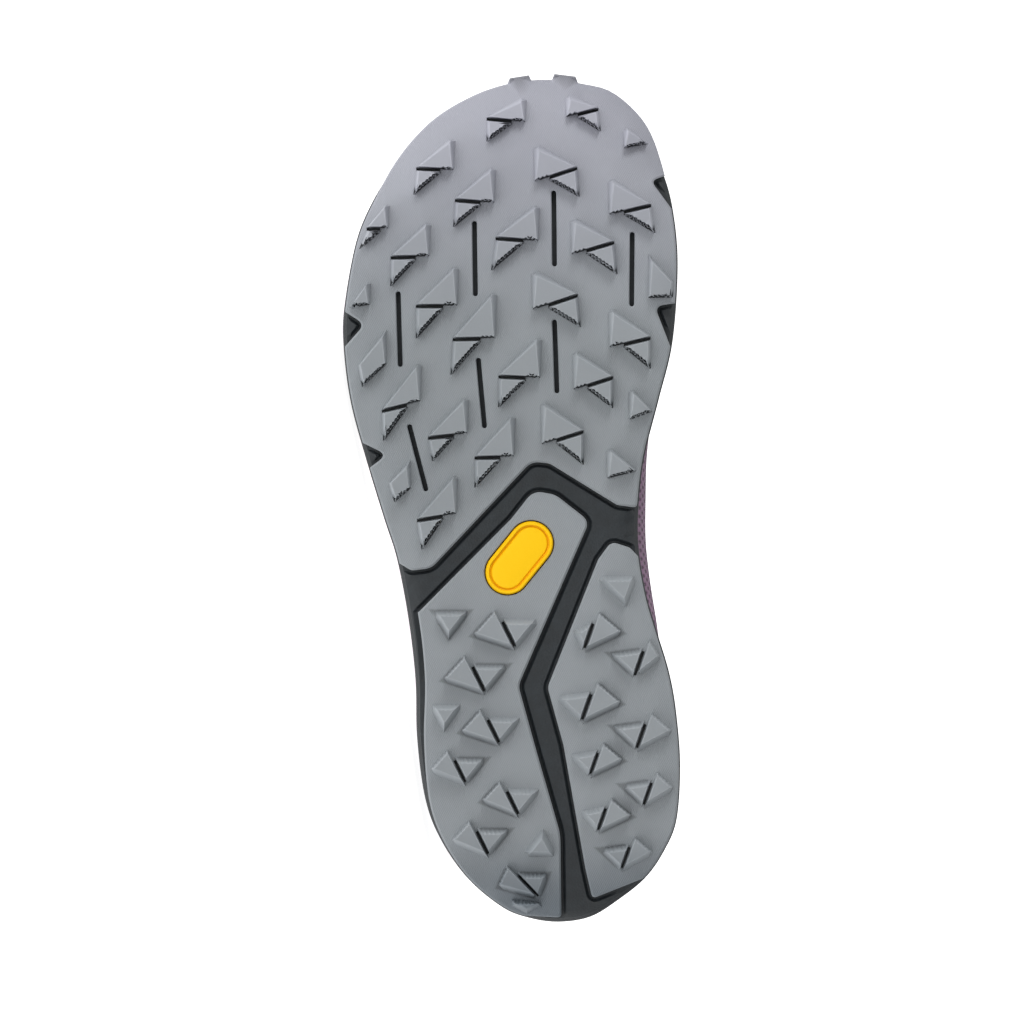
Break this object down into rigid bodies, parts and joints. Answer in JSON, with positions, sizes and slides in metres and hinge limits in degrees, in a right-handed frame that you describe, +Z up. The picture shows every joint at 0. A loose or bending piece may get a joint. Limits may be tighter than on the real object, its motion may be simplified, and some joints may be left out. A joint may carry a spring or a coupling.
{
  "type": "trail running shoe",
  "caption": "Low-cut trail running shoe for the right foot, empty, lying on its little-toe side with a lugged rubber outsole, foam midsole, hollow textile upper and laces.",
  "frame": {"origin": "centre of the bounding box in plan, on the floor that the shoe lies on", "axes": "+Z up from the floor, -X towards the toe, -Y the way the sole faces"},
  "size_m": [0.283, 0.1192, 0.1169],
  "materials": {
    "rubber": "matte moulded rubber with a fine diagonal hatch",
    "badge_yellow": "satin moulded inlay",
    "foam": "matte moulded foam",
    "insole_foam": "matte textile over foam",
    "mesh": "open knitted mesh",
    "overlay": "matte film overlay",
    "lace": "flat woven lace",
    "webbing": "woven webbing"
  },
  "bodies": {
    "root": {"outsole_forefoot": "rubber", "outsole_heel_lateral": "rubber", "outsole_heel_medial": "rubber", "badge": "badge_yellow", "midsole": "foam", "insole": "insole_foam", "upper": "mesh", "toe_cap": "overlay", "heel_counter": "overlay", "eyestay": "overlay", "tongue": "mesh", "laces": "lace", "pull_loop": "webbing"}
  },
  "joints": []
}
